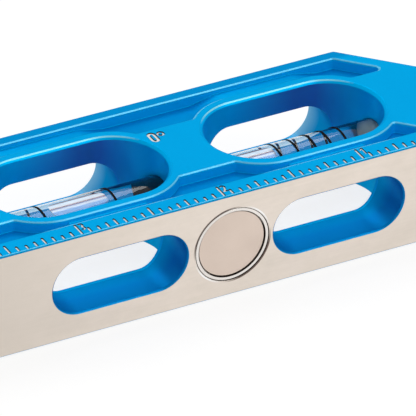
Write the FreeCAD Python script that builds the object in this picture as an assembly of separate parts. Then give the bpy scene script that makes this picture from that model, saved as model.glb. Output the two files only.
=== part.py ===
import FreeCAD, Part
import os
import math

V = FreeCAD.Vector

# Pocket spirit level lying on one broad side, millimetres.
# X runs along the ruled edge, +X towards the zero of the ruler.
# The machined working edge faces -Y, the printed broad side faces +Z.

# body block
length = 101.6
width = 30.95
thick = 19.05
corner_leg = 13.3
corner_round = 1.0
outer_break = 0.3
front_break = 0.2

# windows through both broad sides
window_right_from_end = 29.51
window_pitch = 39.68
window_long = 32.1
window_bevel = 0.5

# slots through both long edges
slot_long = 23.95
slot_high = 10.0
slot_break = 0.3

# sunk panels between the raised strips and the window rims
panel_depth = 2.0
ruler_strip = 3.6
panel_gap = 1.375
rim_wide = 1.45
back_strip = 2.2
land_edge = 8.37
panel_break = 0.3
ridge_depth = 0.93
ridge_foot = 5.0
rim_foot = 0.25
panel_corner_round = 0.7
under_corner_break = 0.45
slant_margin = 2.4
front_slant_from_end = 11.5
front_left_from_end = 9.1

# vials
tube_r = 4.75
tube_wall = 0.8
plug_face_from_centre = 12.7
ring_wide = 0.42
ring_thick = 0.06
level_ring_half = 6.27
pitch_ring_first = -3.2
pitch_step_wide = 3.2
pitch_step_close = 2.8
pitch_left_ring_in = 2.25
plug_dome = 1.1
bubble_long = 9.9
bubble_r = 2.3
bubble_slope = 1.2
bubble_depth = 1.8
level_bubble_shift = 0.5
pitch_bubble_shift = -8.4

# magnet and its steel cup in the working edge
magnet_from_end = 49.1
cup_r = 6.7
cup_wall = 0.6
cup_high = 5.0
cup_floor = 1.0
cup_break = 0.15
cup_sunk = 0.1
magnet_gap = 0.25
magnet_sunk = 0.33

# derived sizes
half_l = length / 2.0
half_w = width / 2.0
mid_z = thick / 2.0
window_wide = width - 2.0 * (ruler_strip + panel_gap + rim_wide)
ridge_half = (window_long - window_wide) / 2.0
right_x = half_l - window_right_from_end
left_x = right_x - window_pitch
inner_long = window_long - 2.0 * window_bevel
inner_wide = window_wide - 2.0 * window_bevel
land = window_pitch - inner_long
tube_long = inner_long + land
tube_in_r = tube_r - tube_wall
magnet_x = half_l - magnet_from_end
magnet_r = cup_r - cup_wall - magnet_gap


def stadium_face(cx, cy, long, wide):
    r = wide / 2.0
    h = long / 2.0 - r
    a = V(cx - h, cy - r, 0)
    b = V(cx + h, cy - r, 0)
    c = V(cx + h, cy + r, 0)
    d = V(cx - h, cy + r, 0)
    right_mid = V(cx + h + r, cy, 0)
    left_mid = V(cx - h - r, cy, 0)
    edges = [Part.makeLine(a, b), Part.Arc(b, right_mid, c).toShape(),
             Part.makeLine(c, d), Part.Arc(d, left_mid, a).toShape()]
    return Part.Face(Part.Wire(edges))


def polygon_face(points):
    pts = [V(x, y, 0) for x, y in points]
    return Part.Face(Part.makePolygon(pts + [pts[0]]))


def lift(face, z0, z1):
    moved = face.copy()
    moved.translate(V(0, 0, z0))
    return moved.extrude(V(0, 0, z1 - z0))


def cyl_x(r, x0, x1, y=0.0, z=mid_z):
    return Part.makeCylinder(r, x1 - x0, V(x0, y, z), V(1, 0, 0))


def soften(shape, edges, radius, bevel=False):
    if bevel:
        return shape.makeChamfer(radius, edges)
    return shape.makeFillet(radius, edges)


def flat_at(edge, axis, value, tol=1e-3):
    box = edge.BoundBox
    low = (box.XMin, box.YMin, box.ZMin)[axis]
    high = (box.XMax, box.YMax, box.ZMax)[axis]
    return abs(low - value) < tol and abs(high - value) < tol


def upright(edge):
    box = edge.BoundBox
    return box.XLength < 1e-3 and box.YLength < 1e-3 and box.ZLength > 0.5


def on_stadium(edge, cx, long, wide):
    r = wide / 2.0
    h = long / 2.0 - r
    for vertex in edge.Vertexes:
        past = max(abs(vertex.X - cx) - h, 0.0)
        if abs(math.hypot(past, vertex.Y) - r) > 1e-3:
            return False
    return True


# outer outline with the two slanted back corners
outline = polygon_face([
    (-half_l, -half_w), (half_l, -half_w), (half_l, half_w - corner_leg),
    (half_l - corner_leg, half_w), (-half_l + corner_leg, half_w),
    (-half_l, half_w - corner_leg)])
block = lift(outline, 0, thick)
block = soften(block, [e for e in block.Edges
                       if upright(e) and e.BoundBox.YMin > -half_w + 1.0], corner_round)
plain_block = block.copy()

# sunk panels, one in front of the windows and one behind them, the same on both broad sides
front_y0 = -half_w + ruler_strip
front_y1 = -half_w + land_edge
back_y0 = half_w - land_edge
back_y1 = half_w - back_strip
front_tip = half_l - front_slant_from_end
front_left_tip = -half_l + front_left_from_end
slant = slant_margin * math.sqrt(2.0)
slant_sum = half_l + half_w - corner_leg - slant
# the front panel's right end runs on under the window rim, its left end stops at the land
front_panel = polygon_face([
    (front_left_tip, front_y0), (front_tip, front_y0), (front_tip + front_y0, 0), (right_x, 0),
    (right_x, front_y1), (front_left_tip + front_y1 - front_y0, front_y1)])
back_panel = polygon_face([
    (-slant_sum + back_y0, back_y0), (slant_sum - back_y0, back_y0),
    (slant_sum - back_y1, back_y1), (-slant_sum + back_y1, back_y1)])
rims = []
for cx in (left_x, right_x):
    rims.append(stadium_face(cx, 0, window_long + 2 * rim_wide, window_wide + 2 * rim_wide))


def panel_tool(panel, z0, z1):
    region = panel
    for rim in rims:
        region = region.cut(rim)
    tool = lift(region.Faces[0], z0, z1)
    if len(region.Faces) > 1:
        for extra in region.Faces[1:]:
            tool = tool.fuse(lift(extra, z0, z1))
    return tool.removeSplitter()


def prism(points, axis, length):
    wire = Part.makePolygon(points + [points[0]])
    return Part.Face(wire).extrude(axis * length)


def ridges(cx, side, up):
    # the floor beside each window rises to a low ridge, with a small slope at the rim's foot
    floor_z = mid_z + up * (mid_z - panel_depth)
    top_z = mid_z + up * (mid_z - ridge_depth)
    wall_y = side * (window_wide / 2.0 + rim_wide)
    foot = ridge_half + ridge_foot
    profile = [V(cx - foot, 0, floor_z), V(cx + foot, 0, floor_z),
               V(cx + ridge_half, 0, top_z), V(cx - ridge_half, 0, top_z)]
    slope = [V(cx - ridge_half, wall_y, top_z), V(cx - ridge_half, wall_y, top_z + up * rim_foot),
             V(cx - ridge_half, wall_y + side * rim_foot, top_z)]
    return prism(profile, V(0, side, 0), half_w), prism(slope, V(1, 0, 0), 2.0 * ridge_half)


def is_corner(shape, edge):
    # an upright edge between two walls that meet at an angle, not a smooth seam
    middle = edge.BoundBox.Center
    normals = []
    for face in shape.ancestorsOfType(edge, Part.Face):
        u, v = face.Surface.parameter(middle)
        normals.append(face.normalAt(u, v))
    return len(normals) == 2 and normals[0].dot(normals[1]) < 0.995


def ease_corners(shape, radius, bevel=False):
    # every upright corner is eased by the same radius, or by what its shorter wall leaves room for
    corners = [e.BoundBox.Center for e in shape.Edges if upright(e) and is_corner(shape, e)]
    for corner in corners:
        edge = min([e for e in shape.Edges if upright(e)],
                   key=lambda e: e.BoundBox.Center.distanceToPoint(corner))
        foot = edge.Vertexes[0].Point
        walls = [e.Length for e in shape.Edges if not upright(e)
                 and min(v.Point.distanceToPoint(foot) for v in e.Vertexes) < 1e-4]
        shape = soften(shape, [edge], min(radius, 0.4 * min(walls)), bevel)
    return shape


over = 2.0
body = block
for panel, side in ((front_panel, -1), (back_panel, 1)):
    # the ruled side's panels have round corners, the underside's are plainer
    for up in (1, -1):
        if up > 0:
            tool = panel_tool(panel, thick - panel_depth, thick + over)
            tool = ease_corners(tool, panel_corner_round)
        else:
            tool = panel_tool(panel, -over, panel_depth)
            tool = ease_corners(tool, under_corner_break, bevel=True)
        for cx in (left_x, right_x):
            for kept in ridges(cx, side, up):
                tool = tool.cut(kept)
        body = body.cut(tool)

# break the panel edges on both broad sides before the windows are opened
for z in (thick, 0.0):
    panel_edges = []
    for e in body.Edges:
        box = e.BoundBox
        inside = box.YMin > -half_w + 0.5 and box.YMax < half_w - 0.5
        inside = inside and box.XMin > -half_l + 0.5 and box.XMax < half_l - 0.5
        if flat_at(e, 2, z) and inside:
            panel_edges.append(e)
    # the slanted outer corners also lie inside that box, so they are taken out by distance
    keep = []
    for e in panel_edges:
        m = e.BoundBox.Center
        if abs(m.x) + m.y < slant_sum + slant * 0.5:
            keep.append(e)
    body = soften(body, keep, panel_break, bevel=True)

# outer edges: a fine break along the working edge, a wider one elsewhere
body = soften(body, [e for e in body.Edges if flat_at(e, 1, -half_w)], front_break, bevel=True)
outer_edges = []
for e in body.Edges:
    m = e.BoundBox.Center
    at_rim = flat_at(e, 2, thick) or flat_at(e, 2, 0.0)
    near_side = abs(m.x) > half_l - 0.3 and m.y > -half_w + 0.5
    near_back = m.y > half_w - 0.3
    near_slant = abs(m.x) + m.y > slant_sum + slant * 0.5
    if at_rim and (near_side or near_back or near_slant) and e.BoundBox.DiagonalLength > 0.3:
        outer_edges.append(e)
body = soften(body, outer_edges, outer_break, bevel=True)

# windows with a bevelled edge on both broad sides
for cx in (left_x, right_x):
    tool = lift(stadium_face(cx, 0, inner_long, inner_wide), -over, thick + over)
    body = body.cut(tool)
    for z in (thick, 0.0):
        window_edges = [e for e in body.Edges if flat_at(e, 2, z)
                        and on_stadium(e, cx, inner_long, inner_wide)]
        body = soften(body, window_edges, window_bevel, bevel=True)

# slots through the working edge, the windows and the back edge
for cx in (left_x, right_x):
    slot = stadium_face(cx, 0, slot_long, slot_high)
    slot.rotate(V(0, 0, 0), V(1, 0, 0), 90)
    slot.translate(V(0, half_w + over, mid_z))
    body = body.cut(slot.extrude(V(0, -(width + 2 * over), 0)))
for y in (-half_w, half_w):
    slot_edges = [e for e in body.Edges if flat_at(e, 1, y)
                  and abs(e.BoundBox.Center.z - mid_z) < slot_high / 2.0 + 0.1
                  and abs(e.BoundBox.Center.x) < half_l - 5.0]
    body = soften(body, slot_edges, slot_break, bevel=True)

# one bore along the middle takes both vials from the left end
bore_right = right_x + inner_long / 2.0 + land / 2.0
bore = cyl_x(tube_r, -half_l - over, bore_right)
body = body.cut(bore)

# round pocket for the magnet cup
pocket_depth = cup_sunk + cup_high
pocket = Part.makeCylinder(cup_r, pocket_depth + over, V(magnet_x, -half_w - over, mid_z), V(0, 1, 0))
body = body.cut(pocket)


# vial parts
def tube_solid(cx):
    outer = cyl_x(tube_r, cx - tube_long / 2.0, cx + tube_long / 2.0)
    inner = cyl_x(tube_in_r, cx - tube_long / 2.0 - over, cx + tube_long / 2.0 + over)
    return outer.cut(inner)


def end_plug(cx, side, domed):
    face_x = cx + side * plug_face_from_centre
    end_x = cx + side * tube_long / 2.0
    plug = cyl_x(tube_in_r, min(face_x, end_x), max(face_x, end_x))
    if domed:
        rim = [e for e in plug.Edges if flat_at(e, 0, face_x)]
        plug = soften(plug, rim, plug_dome, bevel=True)
    return plug


def bubble_void(cx, shift):
    z = mid_z + tube_in_r - bubble_depth + bubble_r
    half = bubble_long / 2.0
    void = cyl_x(bubble_r, cx + shift - half, cx + shift + half, 0.0, z)
    ends = [e for e in void.Edges if flat_at(e, 0, cx + shift - half) or flat_at(e, 0, cx + shift + half)]
    return soften(void, ends, bubble_slope, bevel=True)


def liquid_solid(cx, shift, plugs):
    fill = cyl_x(tube_in_r, cx - plug_face_from_centre - plug_dome, cx + plug_face_from_centre + plug_dome)
    for plug in plugs:
        fill = fill.cut(plug)
    fill = fill.cut(bubble_void(cx, shift))
    return max(fill.Solids, key=lambda s: s.Volume)


def ring_solid(x):
    outer = cyl_x(tube_r + ring_thick, x - ring_wide / 2.0, x + ring_wide / 2.0)
    inner = cyl_x(tube_r, x - ring_wide, x + ring_wide)
    return outer.cut(inner)


parts = {"body": body}

level_plugs = [end_plug(left_x, -1, False), end_plug(left_x, 1, False)]
parts["vial_tube_level"] = tube_solid(left_x)
parts["vial_liquid_level"] = liquid_solid(left_x, level_bubble_shift, level_plugs)
parts["vial_plug_level_left"] = level_plugs[0]
parts["vial_plug_level_right"] = level_plugs[1]
parts["ring_level_left"] = ring_solid(left_x - level_ring_half)
parts["ring_level_right"] = ring_solid(left_x + level_ring_half)

pitch_plugs = [end_plug(right_x, -1, False), end_plug(right_x, 1, True)]
parts["vial_tube_pitch"] = tube_solid(right_x)
parts["vial_liquid_pitch"] = liquid_solid(right_x, pitch_bubble_shift, pitch_plugs)
parts["vial_plug_pitch_left"] = pitch_plugs[0]
parts["vial_plug_pitch_right"] = pitch_plugs[1]
ring_offsets = [-inner_long / 2.0 + pitch_left_ring_in,
                pitch_ring_first,
                pitch_ring_first + pitch_step_wide,
                pitch_ring_first + 2 * pitch_step_wide,
                pitch_ring_first + 2 * pitch_step_wide + pitch_step_close,
                pitch_ring_first + 2 * pitch_step_wide + 2 * pitch_step_close]
for i, offset in enumerate(ring_offsets):
    parts["ring_pitch_%d" % (i + 1)] = ring_solid(right_x + offset)

# the bore is closed by a plug cut flush with the end of the body
bore_plug = cyl_x(tube_r, -half_l - over, left_x - tube_long / 2.0).common(plain_block)
parts["bore_plug"] = bore_plug

# steel cup and magnet disc
cup_y = -half_w + cup_sunk
cup = Part.makeCylinder(cup_r, cup_high, V(magnet_x, cup_y, mid_z), V(0, 1, 0))
cup = soften(cup, [e for e in cup.Edges if flat_at(e, 1, cup_y)], cup_break, bevel=True)
cup_inner = Part.makeCylinder(cup_r - cup_wall, cup_high - cup_floor + over,
                              V(magnet_x, cup_y - over, mid_z), V(0, 1, 0))
parts["magnet_cup"] = cup.cut(cup_inner)
magnet_y = -half_w + magnet_sunk
magnet_high = cup_y + cup_high - cup_floor - magnet_y
parts["magnet"] = Part.makeCylinder(magnet_r, magnet_high, V(magnet_x, magnet_y, mid_z), V(0, 1, 0))

os.makedirs("parts", exist_ok=True)
for name, shape in parts.items():
    solids = shape.Solids
    if len(solids) == 1:
        shape = solids[0]
    else:
        print("solids in", name, len(solids))
    if not shape.isValid():
        print("not valid:", name)
    shape.exportStep("parts/" + name + ".step")
print("pieces", len(parts))
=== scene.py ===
import bpy
import bmesh
import math
from mathutils import Matrix, Vector


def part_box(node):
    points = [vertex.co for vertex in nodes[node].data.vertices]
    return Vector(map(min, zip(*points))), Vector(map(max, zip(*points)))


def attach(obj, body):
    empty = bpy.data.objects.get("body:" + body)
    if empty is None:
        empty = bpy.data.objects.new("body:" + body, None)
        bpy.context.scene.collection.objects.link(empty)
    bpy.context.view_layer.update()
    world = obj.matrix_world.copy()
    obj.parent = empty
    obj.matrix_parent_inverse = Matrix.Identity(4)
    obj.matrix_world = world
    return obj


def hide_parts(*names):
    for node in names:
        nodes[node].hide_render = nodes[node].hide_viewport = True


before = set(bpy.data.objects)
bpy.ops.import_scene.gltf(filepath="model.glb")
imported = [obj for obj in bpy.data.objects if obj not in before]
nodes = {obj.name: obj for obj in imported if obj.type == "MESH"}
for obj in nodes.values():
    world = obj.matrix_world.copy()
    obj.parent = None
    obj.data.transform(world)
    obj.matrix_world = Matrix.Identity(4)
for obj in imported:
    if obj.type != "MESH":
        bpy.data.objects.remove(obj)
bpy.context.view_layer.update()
MM = 0.001


def middle_x(name):
    low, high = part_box(name)
    return (low.x + high.x) / 2.0 / MM


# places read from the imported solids, millimetres
body_low, body_high = [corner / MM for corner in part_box("body")]
front_y = body_low.y
top_z = body_high.z
half_l = body_high.x
half_w = body_high.y
mid_z = (body_low.z + body_high.z) / 2.0
level_x = middle_x("vial_tube_level")
pitch_x = middle_x("vial_tube_pitch")
magnet_x = middle_x("magnet_cup")
pocket_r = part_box("magnet_cup")[1].x / MM - magnet_x
tube_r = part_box("vial_tube_level")[1].y / MM

# the block's own forms, millimetres
corner_leg = 13.3
window_straight = 7.0
window_r = 9.05
slot_reach = 15.0
slot_half = 5.2
panel_z = top_z - 2.1
pocket_deep = 5.2
edge_soft = 0.3
weld_within = 0.0005
smooth_below_degrees = 25.0

# the ruler's grooves, millimetres
inch = 25.4
marks_per_inch = 16
last_mark = 63
groove_wide = 0.42
groove_deep = 0.2
groove_start = 0.24
inch_long = 3.12
half_inch_long = 2.56
quarter_long = 2.04
odd_long = 1.62
eighth_long = 1.36
ruler_end_y = front_y + inch_long
digit_high = 1.85
digit_wide = 0.96
digit_stroke = 0.33
digit_from_mark = 0.84
digit_mid_from_edge = 2.15
zero_mark_x = -1.87
zero_mark_y = 4.8
zero_high = 2.9
zero_wide = 1.5
zero_stroke = 0.54
degree_x = -0.3
degree_y = 5.3
degree_r = 0.68
degree_stroke = 0.36
cut_low = top_z - groove_deep
cut_high = top_z + 0.4

# the vials, millimetres
tube_wall = 0.8
inner_r = tube_r - tube_wall
tube_inset = 0.01
tube_end_inset = 0.02
tube_end_round = 0.3
fill_overlap = 0.05
bubble_r = 1.6
bubble_depth = 1.5
bubble_end = 2.0
bubble_inset = 0.03
bubble_end_steps = 12
bubble_round_steps = 20
level_bubble_half = 4.95
level_bubble_shift = 0.5
pitch_bubble_half = 4.45
pitch_bubble_shift = -7.9
plug_set_back = 0.6
plug_dome = 2.0
plug_inset = 0.05
dome_tip_r = 0.15
dome_steps = 8
vial_segments = 96
dome_segments = 64


# camera, solved from the ruler's marks, the slots, the windows and the magnet
azimuth = math.radians(30.5378)
elevation = math.radians(32.7152)
roll = math.radians(2.5706)
camera_at = Vector((-423.53, -728.13, 549.24)) * MM
lens_mm = 540.74
forward = Vector((math.sin(azimuth) * math.cos(elevation),
                  math.cos(azimuth) * math.cos(elevation),
                  -math.sin(elevation)))
level_right = Vector((math.cos(azimuth), -math.sin(azimuth), 0.0))
level_up = level_right.cross(forward)
cam_right = level_right * math.cos(roll) + level_up * math.sin(roll)
cam_up = level_up * math.cos(roll) - level_right * math.sin(roll)
cam_data = bpy.data.cameras.new("camera")
cam_data.lens = lens_mm
cam_data.sensor_width = 36.0
cam_data.clip_start = 0.05
cam_data.clip_end = 20.0
camera = bpy.data.objects.new("camera", cam_data)
bpy.context.scene.collection.objects.link(camera)
turn = Matrix((cam_right, cam_up, -forward)).transposed().to_4x4()
camera.matrix_world = Matrix.Translation(camera_at) @ turn
bpy.context.scene.camera = camera
bpy.context.scene.view_settings.view_transform = "Standard"


# node helpers
def linear(r, g, b):
    out = []
    for c in (r, g, b):
        c = c / 255.0
        out.append(c / 12.92 if c <= 0.04045 else ((c + 0.055) / 1.055) ** 2.4)
    return (out[0], out[1], out[2], 1.0)


class Mat:
    def __init__(self, name):
        self.mat = bpy.data.materials.new(name)
        self.mat.use_nodes = True
        self.tree = self.mat.node_tree
        self.shader = self.tree.nodes["Principled BSDF"]
        self.out = self.tree.nodes["Material Output"]
        self.coords = self.tree.nodes.new("ShaderNodeTexCoord").outputs["Object"]

    def node(self, kind, **settings):
        n = self.tree.nodes.new(kind)
        for key, value in settings.items():
            setattr(n, key, value)
        return n

    def link(self, a, b):
        self.tree.links.new(a, b)

    def value(self, socket, number):
        self.shader.inputs[socket].default_value = number

    def scaled(self, sx, sy, sz):
        m = self.node("ShaderNodeMapping")
        m.inputs["Scale"].default_value = (sx, sy, sz)
        self.link(self.coords, m.inputs["Vector"])
        return m.outputs["Vector"]

    def noise(self, scale, detail=2.0, rough=0.5, stretch=(1.0, 1.0, 1.0)):
        n = self.node("ShaderNodeTexNoise")
        n.inputs["Scale"].default_value = scale
        n.inputs["Detail"].default_value = detail
        n.inputs["Roughness"].default_value = rough
        self.link(self.scaled(*stretch), n.inputs["Vector"])
        return n.outputs["Fac"]

    def ramp(self, fac, low, high, a=0.3, b=0.7):
        n = self.node("ShaderNodeMapRange")
        n.inputs["From Min"].default_value = a
        n.inputs["From Max"].default_value = b
        n.inputs["To Min"].default_value = low
        n.inputs["To Max"].default_value = high
        self.link(fac, n.inputs["Value"])
        return n.outputs["Result"]

    def mix(self, fac, a, b):
        n = self.node("ShaderNodeMix", data_type="RGBA")
        for socket, given in ((0, fac), (6, a), (7, b)):
            if hasattr(given, "is_linked"):
                self.link(given, n.inputs[socket])
            else:
                n.inputs[socket].default_value = given
        return n.outputs[2]

    def blend(self, fac, a, b):
        n = self.node("ShaderNodeMix", data_type="FLOAT")
        for socket, given in ((0, fac), (2, a), (3, b)):
            if hasattr(given, "is_linked"):
                self.link(given, n.inputs[socket])
            else:
                n.inputs[socket].default_value = given
        return n.outputs[0]

    def math(self, op, a, b=0.0):
        n = self.node("ShaderNodeMath", operation=op)
        for i, given in enumerate((a, b)):
            if hasattr(given, "is_linked"):
                self.link(given, n.inputs[i])
            else:
                n.inputs[i].default_value = given
        return n.outputs[0]

    def bump(self, height, strength, distance, normal=None):
        n = self.node("ShaderNodeBump")
        n.inputs["Strength"].default_value = strength
        n.inputs["Distance"].default_value = distance
        self.link(height, n.inputs["Height"])
        if normal is not None:
            self.link(normal, n.inputs["Normal"])
        return n.outputs["Normal"]


# the block's colours
land_blues = linear(0, 160, 224), linear(0, 166, 229)
grain_blue = linear(0, 184, 242)
window_high_blue = linear(0, 178, 250)
window_low_lit_blue = linear(0, 192, 255)
window_shade_blue = linear(48, 118, 206)
window_near_blue = linear(76, 176, 244)
slot_floor_shade_blue = linear(4, 142, 218)
slot_side_shade_blue = linear(12, 132, 208)
slot_end_lit_pale = linear(150, 214, 246)
panel_wall_lit_blue = linear(0, 202, 255)
panel_floor_shade_blue = linear(0, 142, 208)
bevel_lit_blue = linear(0, 188, 255)
slope_highlight_blue = linear(118, 218, 255)
rim_highlight_blue = linear(150, 236, 255)
steels = linear(221, 210, 198), linear(234, 222, 211)
steel_left_shade = linear(211, 201, 190)
paints = linear(244, 242, 239), linear(254, 252, 250)
groove_shadow = linear(52, 46, 44)
pocket_shaded = linear(58, 46, 40)
pocket_lit = linear(176, 166, 158)
pocket_edge_shadow = linear(78, 58, 50)
pocket_edge_glint = linear(252, 250, 248)


# blue anodised block with its front edge ground bare after colouring
def make_body_material():
    m = Mat("anodised_blue_ground_edge")
    place = m.node("ShaderNodeSeparateXYZ")
    m.link(m.coords, place.inputs["Vector"])
    flat_normal = m.node("ShaderNodeNewGeometry").outputs["True Normal"]
    normal = m.node("ShaderNodeSeparateXYZ")
    m.link(flat_normal, normal.inputs["Vector"])
    # positions in millimetres, and which way a face looks
    x, y, z = [m.math("DIVIDE", place.outputs[axis], MM) for axis in "XYZ"]
    aside = normal.outputs["X"]
    up = normal.outputs["Z"]
    out_front = m.math("MULTIPLY", normal.outputs["Y"], -1.0)

    def all_of(first, *others):
        for other in others:
            first = m.math("MULTIPLY", first, other)
        return first

    def larger(p, q):
        return m.math("MAXIMUM", p, q)

    def none_of(mask):
        return m.math("SUBTRACT", 1.0, mask)

    def above(value, low):
        return m.math("GREATER_THAN", value, low)

    def below(value, high):
        return m.math("LESS_THAN", value, high)

    def between(value, low, high):
        return all_of(above(value, low), below(value, high))

    # where the ruled side's front corner ends, the ground face begins
    bare = all_of(below(y, front_y + 0.02), below(z, top_z - 0.4))
    on_land = above(z, top_z - 0.01)
    level_face = above(up, 0.95)
    groove_floor = top_z - groove_deep
    in_groove = all_of(between(z, groove_floor - 0.03, groove_floor + 0.03), level_face)
    groove_wall = all_of(between(z, groove_floor - 0.01, top_z - 0.001),
                         between(up, -0.4, 0.4),
                         above(y, front_y + 0.1))

    # inside the outer edges of both broad sides
    corner_sum = m.math("ADD", m.math("ABSOLUTE", x), y)
    inside = all_of(between(x, 0.5 - half_l, half_l - 0.5),
                    below(y, half_w - 0.5),
                    below(corner_sum, half_l + half_w - corner_leg - 0.8))

    # painted highlight: the flat bevels along the panels are drawn as thin light lines
    slope_above = all_of(between(up, 0.6, 0.8), above(z, top_z - 0.55))
    slope_under = all_of(between(up, -0.8, -0.6), below(z, 0.55))
    thin_line = m.math("ADD", between(z, top_z - 0.22, top_z - 0.03), below(z, 0.3))
    slope = all_of(m.math("ADD", slope_above, slope_under), inside, thin_line)

    # how far each point is from the two windows' middles, and where along them it is
    reaches, nears, deeps = [], [], []
    for cx in (level_x, pitch_x):
        along = m.math("SUBTRACT", x, cx)
        off_middle = m.math("ABSOLUTE", along)
        past = larger(m.math("SUBTRACT", off_middle, window_straight), 0.0)
        reaches.append(m.math("SQRT", m.math("ADD", all_of(past, past), all_of(y, y))))
        nears.append(below(off_middle, slot_reach))
        deeps.append(all_of(m.ramp(along, 0.0, 1.0, -7.0, 5.0), m.ramp(along, 1.0, 0.0, 9.0, 15.0)))
    reach = m.math("MINIMUM", *reaches)
    beside = larger(*nears)
    deep = all_of(larger(*deeps), m.ramp(z, 0.0, 1.0, 7.0, 11.0))
    in_window = all_of(below(reach, window_r + 0.1), below(z, top_z - 0.45))
    by_window = all_of(below(reach, window_r + 0.56), between(z, top_z - 0.52, top_z - 0.01))
    off_rim = above(reach, window_r + 0.7)
    # no painted highlight line on the windows' own front bevels, which stay darker, nor on the break of the
    # front edge
    slope = all_of(slope, none_of(all_of(by_window, m.ramp(out_front, 1.0, 0.0, 0.42, 0.64))))
    front_slope = all_of(between(out_front, 0.6, 0.8), below(y, front_y + 0.35))
    slope = all_of(slope, none_of(all_of(front_slope, below(z, top_z - 0.1))))

    # painted highlight: the far sides of the raised rims carry a light line too, on the land itself
    soft = m.node("ShaderNodeBevel", samples=6)
    soft.inputs["Radius"].default_value = edge_soft * MM
    tilt = m.node("ShaderNodeVectorMath", operation="DOT_PRODUCT")
    m.link(soft.outputs["Normal"], tilt.inputs[0])
    m.link(flat_normal, tilt.inputs[1])
    soft_parts = m.node("ShaderNodeSeparateXYZ")
    m.link(soft.outputs["Normal"], soft_parts.inputs["Vector"])
    by_mark = all_of(between(x, zero_mark_x - zero_wide, degree_x + zero_wide),
                     between(y, zero_mark_y - zero_high, zero_mark_y + zero_high))
    far_rim_highlight = all_of(m.ramp(tilt.outputs["Value"], 1.0, 0.0, 0.965, 0.995),
                      on_land, level_face, inside,
                      above(soft_parts.outputs["Y"], 0.03),
                      m.ramp(soft_parts.outputs["X"], 1.0, 0.0, -0.1, -0.01),
                      above(reach, window_r + 0.9),
                      above(y, ruler_end_y + 0.5),
                      none_of(by_mark))
    # painted highlight: the ruler strip's inner edge shines beside the windows
    strip_highlight = all_of(m.ramp(tilt.outputs["Value"], 1.0, 0.0, 0.97, 0.995),
                        on_land, level_face,
                        between(y, ruler_end_y + 0.04, ruler_end_y + 0.6),
                        m.ramp(reach, 1.0, 0.0, 12.4, 13.6))
    far_highlight = larger(far_rim_highlight, strip_highlight)

    # the colouring itself, with fine grain and slow clouds
    grain = m.noise(2600.0, 3.0, 0.6)
    cloud = m.noise(45.0, 3.0, 0.55)
    blue = m.mix(m.ramp(cloud, 0.0, 1.0), *land_blues)
    blue = m.mix(m.ramp(grain, 0.0, 0.12), blue, grain_blue)
    # painted shade: a deeper navy on the windows' upper walls right of their middles, and painted light
    # from the floor lower down
    window_blue = m.mix(m.ramp(z, 1.0, 0.0, 5.0, 10.0), window_high_blue, window_low_lit_blue)
    blue = m.mix(in_window, blue, m.mix(deep, window_blue, window_shade_blue))
    # the front walls, seen only through the vials, are washed with light from the floor
    near_wall = all_of(in_window, m.ramp(out_front, 1.0, 0.0, -0.95, -0.7))
    blue = m.mix(near_wall, blue, window_near_blue)
    # painted shade in the front slots, one shade on their floors and another on walls facing left, and
    # painted light on the right ends of the back slots, growing towards the back
    slot_level = all_of(beside, between(z, mid_z - slot_half, mid_z + slot_half))
    front_slot = all_of(slot_level,
                        m.ramp(y, 1.0, 0.0, -window_r - 3.0, -window_r),
                        above(y, front_y + 0.1))
    slot_shaded_blue = m.mix(m.ramp(aside, 0.0, 1.0, -0.2, -0.9), slot_floor_shade_blue, slot_side_shade_blue)
    blue = m.mix(front_slot, blue, slot_shaded_blue)
    back_slot = all_of(slot_level,
                       m.ramp(aside, 1.0, 0.0, -0.6, -0.2),
                       between(y, window_r + 0.2, half_w),
                       m.ramp(y, 0.0, 0.9, window_r + 2.6, half_w))
    blue = m.mix(back_slot, blue, slot_end_lit_pale)
    # painted light makes the panels' walls lighter, and painted shade makes their floors and the land along
    # the back a little deeper
    panel_wall = all_of(between(z, panel_z, top_z - 0.3), between(up, -0.2, 0.5), off_rim,
                        inside, above(y, front_y + 0.6))
    blue = m.mix(panel_wall, blue, panel_wall_lit_blue)
    panel_floor = all_of(m.ramp(z, 1.0, 0.0, top_z - 1.6, top_z - 0.9), above(up, 0.5),
                         above(z, panel_z), off_rim)
    blue = m.mix(panel_floor, blue, panel_floor_shade_blue)
    back_land_shade = all_of(m.ramp(y, 0.0, 1.0, half_w - 3.0, half_w - 1.8), above(z, top_z - 0.35))
    blue = m.mix(back_land_shade, blue, panel_floor_shade_blue)
    # painted light on the windows' bevels, and painted highlight lines on the panels' bevels and along the
    # far edges
    blue = m.mix(all_of(by_window, none_of(slope)), blue, bevel_lit_blue)
    blue = m.mix(all_of(slope, m.ramp(cloud, 0.8, 1.0)), blue, slope_highlight_blue)
    blue = m.mix(larger(far_highlight, all_of(by_window, slope)), blue, rim_highlight_blue)

    # the ground face, its wear and the paint in the grooves
    blotch = m.noise(260.0, 4.0, 0.6, (1.0, 1.6, 1.6))
    streak = m.noise(60.0, 5.0, 0.65, (1.0, 30.0, 30.0))
    wear = m.blend(0.35, blotch, streak)
    steel = m.mix(m.ramp(wear, 0.0, 1.0), *steels)
    # painted shade: the ground face grows darker towards its left end
    steel = m.mix(m.ramp(x, 1.0, 0.0, -half_l, -0.35 * half_l), steel, steel_left_shade)
    paint = m.mix(m.ramp(grain, 0.0, 1.0), *paints)
    colour = m.mix(groove_wall, blue, groove_shadow)
    colour = m.mix(in_groove, colour, paint)
    colour = m.mix(bare, colour, steel)

    # the magnet's pocket is bored after colouring
    across = m.math("SUBTRACT", x, magnet_x)
    rise = m.math("SUBTRACT", z, mid_z)
    from_magnet = m.math("SQRT", m.math("ADD", all_of(across, across), all_of(rise, rise)))
    pocket = all_of(below(from_magnet, pocket_r + 0.06),
                    between(y, front_y + 0.01, front_y + pocket_deep))
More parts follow.
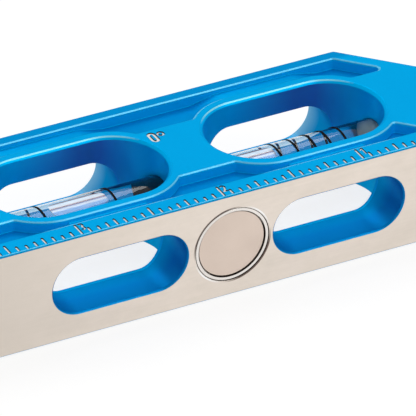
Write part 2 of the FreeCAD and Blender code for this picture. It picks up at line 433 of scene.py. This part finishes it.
    # painted shade and glints: the bare pocket wall is dark on two sides and bright on the other two, and
    # the edge round the magnet carries a painted shadow on the dark sides and painted glints on the bright
    # ones
    diagonal = m.math("DIVIDE", m.math("SUBTRACT", rise, across), all_of(from_magnet, math.sqrt(2.0)))
    diagonal = m.math("ABSOLUTE", diagonal)
    round_edge = all_of(between(from_magnet, pocket_r - 0.02, pocket_r + 0.3), bare)
    shaded_side = m.ramp(diagonal, 0.0, 0.9, 0.55, 0.85)
    lit_side = m.ramp(diagonal, 1.0, 0.0, 0.1, 0.5)
    colour = m.mix(pocket, colour, m.mix(lit_side, pocket_shaded, pocket_lit))
    colour = m.mix(all_of(round_edge, shaded_side), colour, pocket_edge_shadow)
    colour = m.mix(all_of(round_edge, lit_side), colour, pocket_edge_glint)

    m.link(colour, m.shader.inputs["Base Color"])
    painted = larger(in_groove, groove_wall)
    metal = m.blend(bare, 0.4, 1.0)
    m.link(all_of(metal, none_of(painted)), m.shader.inputs["Metallic"])
    m.value("Specular IOR Level", 0.0)
    m.value("Specular Tint", (0.6, 0.92, 1.0, 1.0))
    rough_blue = m.ramp(grain, 0.36, 0.44)
    rough_bare = m.ramp(wear, 0.3, 0.4)
    m.link(m.blend(bare, rough_blue, rough_bare), m.shader.inputs["Roughness"])
    fine = m.bump(grain, 0.25, 0.012 * MM, soft.outputs["Normal"])
    m.link(m.bump(all_of(wear, bare), 0.3, 0.01 * MM, fine), m.shader.inputs["Normal"])
    return m.mat


def plain_material(name, dark, light, rough_low, rough_high, metallic=0.0, specular=0.5,
                   grain_scale=1800.0, grain_height=0.006, stretch=(1.0, 1.0, 1.0)):
    m = Mat(name)
    grain = m.noise(grain_scale, 3.0, 0.6, stretch)
    cloud = m.noise(160.0, 2.0, 0.5)
    m.link(m.mix(m.ramp(cloud, 0.0, 1.0), dark, light), m.shader.inputs["Base Color"])
    m.link(m.ramp(grain, rough_low, rough_high), m.shader.inputs["Roughness"])
    m.link(m.bump(grain, 0.3, grain_height * MM), m.shader.inputs["Normal"])
    m.value("Metallic", metallic)
    m.value("Specular IOR Level", specular)
    return m.mat


body_mat = make_body_material()
disc_mat = plain_material("magnet_nickel", linear(213, 196, 183), linear(220, 203, 190), 0.3, 0.4,
                          metallic=1.0, grain_scale=900.0, grain_height=0.004, stretch=(1.0, 1.0, 6.0))
cup_mat = plain_material("cup_steel_bright", linear(226, 220, 214), linear(238, 233, 228), 0.16, 0.24,
                         metallic=1.0)
ring_mat = plain_material("ring_black_print", linear(6, 6, 8), linear(12, 12, 14), 0.55, 0.65,
                          specular=0.1)
plug_black_mat = plain_material("plug_black_gloss", linear(8, 8, 10), linear(14, 13, 15), 0.45, 0.55,
                                specular=0.02)
plug_grey_mat = plain_material("plug_grey_moulded", linear(150, 144, 136), linear(172, 166, 157), 0.35, 0.5)
for name, mat in (("body", body_mat), ("bore_plug", body_mat),
                  ("magnet", disc_mat), ("magnet_cup", cup_mat),
                  ("vial_plug_level_left", plug_black_mat), ("vial_plug_level_right", plug_black_mat),
                  ("vial_plug_pitch_left", plug_grey_mat), ("vial_plug_pitch_right", plug_grey_mat)):
    nodes[name].data.materials[0] = mat
for name in nodes:
    if name.startswith("ring"):
        nodes[name].data.materials[0] = ring_mat


# engraved ruler marks and numbers, cut into the block by a Boolean with a hidden cutter
def prism(bm, outline, z0, z1):
    low = [bm.verts.new((x * MM, y * MM, z0 * MM)) for x, y in outline]
    high = [bm.verts.new((x * MM, y * MM, z1 * MM)) for x, y in outline]
    bm.faces.new(high)
    bm.faces.new(list(reversed(low)))
    n = len(outline)
    for i in range(n):
        j = (i + 1) % n
        bm.faces.new((low[i], low[j], high[j], high[i]))


def ring_prism(bm, outer, inner, z0, z1):
    loops = []
    for outline in (outer, inner):
        for z in (z0, z1):
            loops.append([bm.verts.new((x * MM, y * MM, z * MM)) for x, y in outline])
    out_low, out_high, in_low, in_high = loops
    n = len(outer)
    for i in range(n):
        j = (i + 1) % n
        bm.faces.new((out_low[i], out_low[j], out_high[j], out_high[i]))
        bm.faces.new((in_low[j], in_low[i], in_high[i], in_high[j]))
        bm.faces.new((out_high[i], out_high[j], in_high[j], in_high[i]))
        bm.faces.new((out_low[j], out_low[i], in_low[i], in_low[j]))


def arc(cx, cy, rx, ry, start, end, steps):
    points = []
    for i in range(steps + 1):
        a = math.radians(start + (end - start) * i / steps)
        points.append((cx + rx * math.cos(a), cy + ry * math.sin(a)))
    return points


def strip(points, wide):
    # outline of a stroke of one width along a line of points, with mitred bends
    left, right = [], []
    for i, (x, y) in enumerate(points):
        before = Vector(points[max(i - 1, 0)])
        after = Vector(points[min(i + 1, len(points) - 1)])
        here = Vector((x, y))
        a = (here - before) if i else (after - here)
        b = (after - here) if i < len(points) - 1 else a
        a.normalize()
        b.normalize()
        half = (a + b).normalized()
        side = Vector((-half.y, half.x))
        # a sharp bend's mitre is kept from growing long
        out = wide / 2.0 / max(half.dot(a), 0.45)
        left.append(tuple(here + side * out))
        right.append(tuple(here - side * out))
    return right + list(reversed(left))


def digit_outline(digit, cx, cy, wide, high, stroke):
    h = stroke / 2.0
    w = wide / 2.0
    t = high / 2.0
    if digit == 1:
        shape = [(0.1, -t), (0.1 + stroke, -t), (0.1 + stroke, t), (0.16, t), (-w * 0.55, t - 0.42),
                 (-w * 0.55, t - 0.76), (0.1, t - 0.42)]
    elif digit == 2:
        line = arc(0, t - w, w - h, w - h, 165, -10, 9)
        line += [(w - h - 0.12, -t * 0.12), (-w + h + 0.05, -t + h), (w, -t + h)]
        shape = strip(line, stroke)
    else:
        top = arc(0, t - w + 0.02, w, w, 150, -38, 9)
        low = arc(0, -t + w - 0.02, w, w, 38, -150, 9)
        low_in = arc(0, -t + w - 0.02, w - stroke, w - stroke, -150, 62, 9)
        top_in = arc(0, t - w + 0.02, w - stroke, w - stroke, -62, 150, 9)
        stub_x = -w * 0.2
        shape = top + low + low_in + [(stub_x, -h * 0.8), (stub_x, h * 0.8)] + top_in
        shape = list(reversed(shape))
    return [(cx + x, cy + y) for x, y in shape]


def mark_long(k):
    for step, long in ((16, inch_long), (8, half_inch_long), (4, quarter_long), (2, eighth_long)):
        if k % step == 0:
            return long
    return odd_long


cutter_mesh = bmesh.new()
groove_half = groove_wide / 2.0
for k in range(1, last_mark + 1):
    x = half_l - inch * k / marks_per_inch
    tip = arc(x, front_y + mark_long(k) - groove_half, groove_half, groove_half, 0, 180, 6)
    foot = [(x - groove_half, front_y + groove_start), (x + groove_half, front_y + groove_start)]
    prism(cutter_mesh, foot + tip, cut_low, cut_high)
for number in (1, 2, 3):
    digit_x = half_l - inch * number + digit_from_mark
    digit_y = front_y + digit_mid_from_edge
    digit = digit_outline(number, digit_x, digit_y, digit_wide, digit_high, digit_stroke)
    prism(cutter_mesh, digit, cut_low, cut_high)
zero_r = zero_wide / 2.0
zero_out, zero_in = [], []
for grow, loop in ((0.0, zero_out), (-zero_stroke, zero_in)):
    r = zero_r + grow
    rise = zero_high / 2.0 - zero_r
    loop += arc(zero_mark_x, zero_mark_y + rise, r, r, 0, 180, 12)
    loop += arc(zero_mark_x, zero_mark_y - rise, r, r, 180, 360, 12)
ring_prism(cutter_mesh, zero_out, zero_in, cut_low, cut_high)
ring_prism(cutter_mesh, arc(degree_x, degree_y, degree_r, degree_r, 0, 345, 23),
           arc(degree_x, degree_y, degree_r - degree_stroke, degree_r - degree_stroke, 0, 345, 23),
           cut_low, cut_high)
bmesh.ops.recalc_face_normals(cutter_mesh, faces=cutter_mesh.faces)
cutter_data = bpy.data.meshes.new("ruler_cutter")
cutter_mesh.to_mesh(cutter_data)
cutter_mesh.free()
cutter = bpy.data.objects.new("ruler_cutter", cutter_data)
bpy.context.scene.collection.objects.link(cutter)
cutter.hide_render = True


def nodes_modifier(obj, name, build):
    group = bpy.data.node_groups.new(name, "GeometryNodeTree")
    group.interface.new_socket("Geometry", in_out="INPUT", socket_type="NodeSocketGeometry")
    group.interface.new_socket("Geometry", in_out="OUTPUT", socket_type="NodeSocketGeometry")
    source = group.nodes.new("NodeGroupInput").outputs[0]
    target = group.nodes.new("NodeGroupOutput").inputs[0]
    group.links.new(build(group, source), target)
    obj.modifiers.new(name, "NODES").node_group = group


def weld(group, source):
    merge = group.nodes.new("GeometryNodeMergeByDistance")
    merge.inputs["Distance"].default_value = weld_within * MM
    group.links.new(source, merge.inputs["Geometry"])
    drop = group.nodes.new("GeometryNodeRemoveAttribute")
    drop.inputs["Name"].default_value = "custom_normal"
    group.links.new(merge.outputs["Geometry"], drop.inputs["Geometry"])
    return drop.outputs["Geometry"]


def shade(group, source):
    angle = group.nodes.new("GeometryNodeInputMeshEdgeAngle")
    test = group.nodes.new("FunctionNodeCompare")
    test.data_type = "FLOAT"
    test.operation = "LESS_THAN"
    test.inputs[1].default_value = math.radians(smooth_below_degrees)
    group.links.new(angle.outputs["Unsigned Angle"], test.inputs[0])
    edges = group.nodes.new("GeometryNodeSetShadeSmooth")
    edges.domain = "EDGE"
    group.links.new(source, edges.inputs["Geometry"])
    group.links.new(test.outputs["Result"], edges.inputs["Shade Smooth"])
    faces = group.nodes.new("GeometryNodeSetShadeSmooth")
    faces.domain = "FACE"
    group.links.new(edges.outputs["Geometry"], faces.inputs["Geometry"])
    return faces.outputs["Geometry"]


block = nodes["body"]
nodes_modifier(block, "weld", weld)
engrave = block.modifiers.new("engrave", "BOOLEAN")
engrave.object = cutter
engrave.operation = "DIFFERENCE"
engrave.solver = "EXACT"
nodes_modifier(block, "shade_by_angle", shade)


# vials: a clear tube with the liquid's own surface inside it and the bubble's inside that
def glass_material(name, dark, light, ior, coat):
    m = Mat(name)
    wisp = m.noise(120.0, 2.0, 0.5, (0.4, 3.0, 3.0))
    m.link(m.mix(m.ramp(wisp, 0.0, 1.0), dark, light), m.shader.inputs["Base Color"])
    m.link(m.ramp(wisp, 0.0, 0.006), m.shader.inputs["Roughness"])
    m.value("Specular IOR Level", 0.15)
    m.value("Transmission Weight", 1.0)
    m.value("IOR", ior)
    m.value("Coat Weight", coat)
    m.value("Coat IOR", 1.5)
    m.value("Coat Roughness", 0.02)
    # light passes straight through on its way to what the glass shades
    path = m.node("ShaderNodeLightPath")
    clear = m.node("ShaderNodeBsdfTransparent")
    clear.inputs["Color"].default_value = (0.96, 0.98, 1.0, 1.0)
    choice = m.node("ShaderNodeMixShader")
    m.link(path.outputs["Is Shadow Ray"], choice.inputs["Fac"])
    m.link(m.shader.outputs["BSDF"], choice.inputs[1])
    m.link(clear.outputs["BSDF"], choice.inputs[2])
    m.link(choice.outputs["Shader"], m.out.inputs["Surface"])
    return m.mat


def ring_piece(name, bm, rings, mat, smooth_ends):
    # one piece with quads between its rings of points and a face on either end
    n = len(rings[0])
    for a, b in zip(rings, rings[1:]):
        for i in range(n):
            j = (i + 1) % n
            bm.faces.new((a[i], a[j], b[j], b[i]))
    bm.faces.new(list(reversed(rings[0])))
    bm.faces.new(rings[-1])
    bmesh.ops.recalc_face_normals(bm, faces=bm.faces)
    for f in bm.faces:
        f.smooth = smooth_ends or len(f.verts) == 4
    mesh = bpy.data.meshes.new(name)
    bm.to_mesh(mesh)
    bm.free()
    mesh.materials.append(mat)
    obj = bpy.data.objects.new(name, mesh)
    bpy.context.scene.collection.objects.link(obj)
    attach(obj, "root")
    return obj


def turned(name, profile, x_shift, segments, mat):
    # a surface turned round the bore's line, from (x, r) pairs
    bm = bmesh.new()
    rings = []
    for x, r in profile:
        ring = []
        for i in range(segments):
            a = 2.0 * math.pi * i / segments
            y = r * math.cos(a)
            z = mid_z + r * math.sin(a)
            ring.append(bm.verts.new(((x_shift + x) * MM, y * MM, z * MM)))
        rings.append(ring)
    return ring_piece(name, bm, rings, mat, False)


def rounded_end(half, r, fillet, steps):
    # half profile of a rod with rounded ends
    end = []
    for i in range(steps + 1):
        a = math.pi / 2.0 * i / steps
        end.append((half - fillet + fillet * math.sin(a), r - fillet + fillet * math.cos(a)))
    return [(-x, q) for x, q in reversed(end)] + end


def lens(depth, steps):
    # section of the bubble: the bore's round top above, a tighter round below, as (y, z) pairs
    top_r = inner_r - bubble_inset
    low_mid = top_r - depth + bubble_r
    meet_z = (top_r ** 2 - bubble_r ** 2 + low_mid ** 2) / (2.0 * low_mid)
    meet_y = math.sqrt(max(top_r ** 2 - meet_z ** 2, 0.0))
    upper = math.atan2(meet_y, meet_z)
    lower = math.atan2(meet_y, low_mid - meet_z)
    points = []
    for i in range(steps):
        a = upper - 2.0 * upper * i / steps
        points.append((top_r * math.sin(a), top_r * math.cos(a)))
    for i in range(steps):
        a = -lower + 2.0 * lower * i / steps
        points.append((bubble_r * math.sin(a), low_mid - bubble_r * math.cos(a)))
    return points


def bubble_piece(name, x_mid, bubble_half, mat):
    bm = bmesh.new()
    rings = []
    # from just inside the tip, 3 degrees round its end, to where the end meets the straight part
    turns = [3.0 + 87.0 * i / bubble_end_steps for i in range(bubble_end_steps + 1)]
    stations = [-math.cos(math.radians(a)) for a in turns]
    places = [(-bubble_half + bubble_end + bubble_end * q, q) for q in stations]
    places += [(-x, -q) for x, q in reversed(places)]
    for x, q in places:
        section = lens(bubble_depth * math.sqrt(max(1.0 - q * q, 0.0)), bubble_round_steps)
        rings.append([bm.verts.new(((x_mid + x) * MM, y * MM, (mid_z + z) * MM)) for y, z in section])
    return ring_piece(name, bm, rings, mat, True)


# painted reflection: the bubble's colour carries the white surroundings in two long bands, with thin lines
# between them, and its bright bands glow faintly
def bubble_material():
    m = Mat("bubble_painted_reflection")
    place = m.node("ShaderNodeSeparateXYZ")
    m.link(m.coords, place.inputs["Vector"])
    wave = m.noise(90.0, 2.0, 0.5, (0.3, 1.0, 1.0))
    y = m.math("ADD", place.outputs["Y"], m.ramp(wave, -0.12 * MM, 0.12 * MM))
    across = m.ramp(y, 0.0, 1.0, -bubble_r * MM, bubble_r * MM)
    reflection_bands = m.node("ShaderNodeValToRGB")
    m.link(across, reflection_bands.inputs["Fac"])
    stops = reflection_bands.color_ramp.elements
    stops[0].position = 0.0
    stops[0].color = linear(90, 134, 182)
    stops[1].position = 1.0
    stops[1].color = linear(120, 96, 90)
    for position, shade in ((0.3, (104, 142, 188)), (0.36, (216, 208, 218)), (0.44, (232, 218, 220)),
                            (0.49, (30, 90, 170)), (0.55, (176, 120, 104)), (0.62, (255, 236, 230)),
                            (0.84, (255, 246, 242)), (0.93, (150, 104, 96))):
        stops.new(position).color = linear(*shade)
    m.link(reflection_bands.outputs["Color"], m.shader.inputs["Base Color"])
    m.link(m.ramp(wave, 0.12, 0.2), m.shader.inputs["Roughness"])
    m.link(reflection_bands.outputs["Color"], m.shader.inputs["Emission Color"])
    m.link(m.ramp(across, 0.04, 0.34, 0.5, 0.6), m.shader.inputs["Emission Strength"])
    m.value("Metallic", 0.25)
    return m.mat


tube_mat = glass_material("tube_clear", linear(250, 253, 255), linear(255, 255, 255), 1.33, 0.6)
liquid_mat = glass_material("liquid_pale_blue", linear(200, 231, 247), linear(207, 236, 250), 0.94, 0.0)
bubble_mat = bubble_material()
vials = (("level", level_x, level_bubble_shift, level_bubble_half, fill_overlap),
         ("pitch", pitch_x, pitch_bubble_shift, pitch_bubble_half, plug_set_back + plug_dome))
for kind, vial_x, bubble_shift, bubble_half, tail in vials:
    tube_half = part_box("vial_tube_" + kind)[1].x / MM - vial_x
    tube_profile = rounded_end(tube_half - tube_end_inset, tube_r - tube_inset, tube_end_round, 4)
    tube = turned("vial_glass_" + kind, tube_profile, vial_x, vial_segments, tube_mat)
    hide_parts("vial_tube_" + kind)
    liquid_low, liquid_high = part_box("vial_liquid_" + kind)
    fill_low = liquid_low.x / MM - vial_x - fill_overlap
    fill_high = liquid_high.x / MM - vial_x + tail
    fill = turned("vial_fill_" + kind, [(fill_low, inner_r), (fill_high, inner_r)],
                  vial_x, vial_segments, liquid_mat)
    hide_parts("vial_liquid_" + kind)
    bubble = bubble_piece("vial_bubble_" + kind, vial_x + bubble_shift, bubble_half, bubble_mat)

# the right vial's right plug has a rounded inner end
plug_low, plug_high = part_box("vial_plug_pitch_right")
plug_x = plug_low.x / MM
plug_r = inner_r - plug_inset
dome_profile = []
for i in range(dome_steps + 1):
    a = math.pi / 2.0 * i / dome_steps
    dome_profile.append((plug_set_back + plug_dome * (1.0 - math.cos(a)),
                         dome_tip_r + (plug_r - dome_tip_r) * math.sin(a)))
dome_profile.append((plug_high.x / MM - plug_x, plug_r))
dome = turned("vial_dome_pitch", dome_profile, plug_x, dome_segments, plug_grey_mat)
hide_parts("vial_plug_pitch_right")


# a plain pale floor: it looks white to the camera and through glass, and keeps the soft shadow
def stage_plane(name, size):
    corners = [(-size, -size, 0.0), (size, -size, 0.0), (size, size, 0.0), (-size, size, 0.0)]
    mesh = bpy.data.meshes.new(name)
    mesh.from_pydata(corners, [], [(0, 1, 2, 3)])
    obj = bpy.data.objects.new(name, mesh)
    bpy.context.scene.collection.objects.link(obj)
    return obj


floor = stage_plane("floor", 3.0)
floor_mat = bpy.data.materials.new("floor_white")
floor_mat.use_nodes = True
ft = floor_mat.node_tree
ft.nodes.clear()
f_out = ft.nodes.new("ShaderNodeOutputMaterial")
f_add = ft.nodes.new("ShaderNodeAddShader")
f_diff = ft.nodes.new("ShaderNodeBsdfDiffuse")
f_diff.inputs["Color"].default_value = (0.24, 0.24, 0.24, 1.0)
f_emit = ft.nodes.new("ShaderNodeEmission")
f_path = ft.nodes.new("ShaderNodeLightPath")
f_seen = f_path.outputs["Is Camera Ray"]
for ray in ("Is Transmission Ray", "Is Glossy Ray"):
    f_either = ft.nodes.new("ShaderNodeMath")
    f_either.operation = "MAXIMUM"
    ft.links.new(f_seen, f_either.inputs[0])
    ft.links.new(f_path.outputs[ray], f_either.inputs[1])
    f_seen = f_either.outputs[0]
f_lift = ft.nodes.new("ShaderNodeMath")
f_lift.operation = "MULTIPLY_ADD"
f_lift.inputs[1].default_value = 0.74
f_lift.inputs[2].default_value = 0.08
ft.links.new(f_seen, f_lift.inputs[0])
ft.links.new(f_lift.outputs[0], f_emit.inputs["Strength"])
ft.links.new(f_diff.outputs[0], f_add.inputs[0])
ft.links.new(f_emit.outputs[0], f_add.inputs[1])
ft.links.new(f_add.outputs[0], f_out.inputs["Surface"])
floor.data.materials.append(floor_mat)


def area_light(name, direction, distance, size_x, size_y, power):
    data = bpy.data.lights.new(name, "AREA")
    data.shape = "RECTANGLE"
    data.size = size_x
    data.size_y = size_y
    data.energy = power
    obj = bpy.data.objects.new(name, data)
    d = Vector(direction).normalized()
    obj.location = d * distance
    obj.rotation_mode = "QUATERNION"
    obj.rotation_quaternion = d.to_track_quat("Z", "Y")
    bpy.context.scene.collection.objects.link(obj)


area_light("key_box", (0.43, -0.52, 0.74), 1.2, 0.4, 0.4, 2.2)
area_light("top_box", (0.1, 0.45, 0.88), 1.4, 1.2, 0.9, 8.0)

# white surroundings, dimmer from straight above and dimmer still as light on matt faces
world = bpy.data.worlds.new("world")
world.use_nodes = True
bpy.context.scene.world = world
wt = world.node_tree
back = wt.nodes["Background"]
back.inputs["Color"].default_value = (1.0, 1.0, 1.0, 1.0)
w_path = wt.nodes.new("ShaderNodeLightPath")
w_coords = wt.nodes.new("ShaderNodeTexCoord")
w_split = wt.nodes.new("ShaderNodeSeparateXYZ")
wt.links.new(w_coords.outputs["Generated"], w_split.inputs["Vector"])


def by_height(low_z, high_z, low, high):
    n = wt.nodes.new("ShaderNodeMapRange")
    for socket, number in (("From Min", low_z), ("From Max", high_z), ("To Min", low), ("To Max", high)):
        n.inputs[socket].default_value = number
    wt.links.new(w_split.outputs["Z"], n.inputs["Value"])
    return n.outputs["Result"]


w_strength = wt.nodes.new("ShaderNodeMix")
w_strength.data_type = "FLOAT"
wt.links.new(w_path.outputs["Is Diffuse Ray"], w_strength.inputs[0])
wt.links.new(by_height(0.35, 0.95, 0.9, 0.3), w_strength.inputs[2])
wt.links.new(by_height(0.0, 0.7, 0.06, 0.5), w_strength.inputs[3])
wt.links.new(w_strength.outputs[0], back.inputs["Strength"])
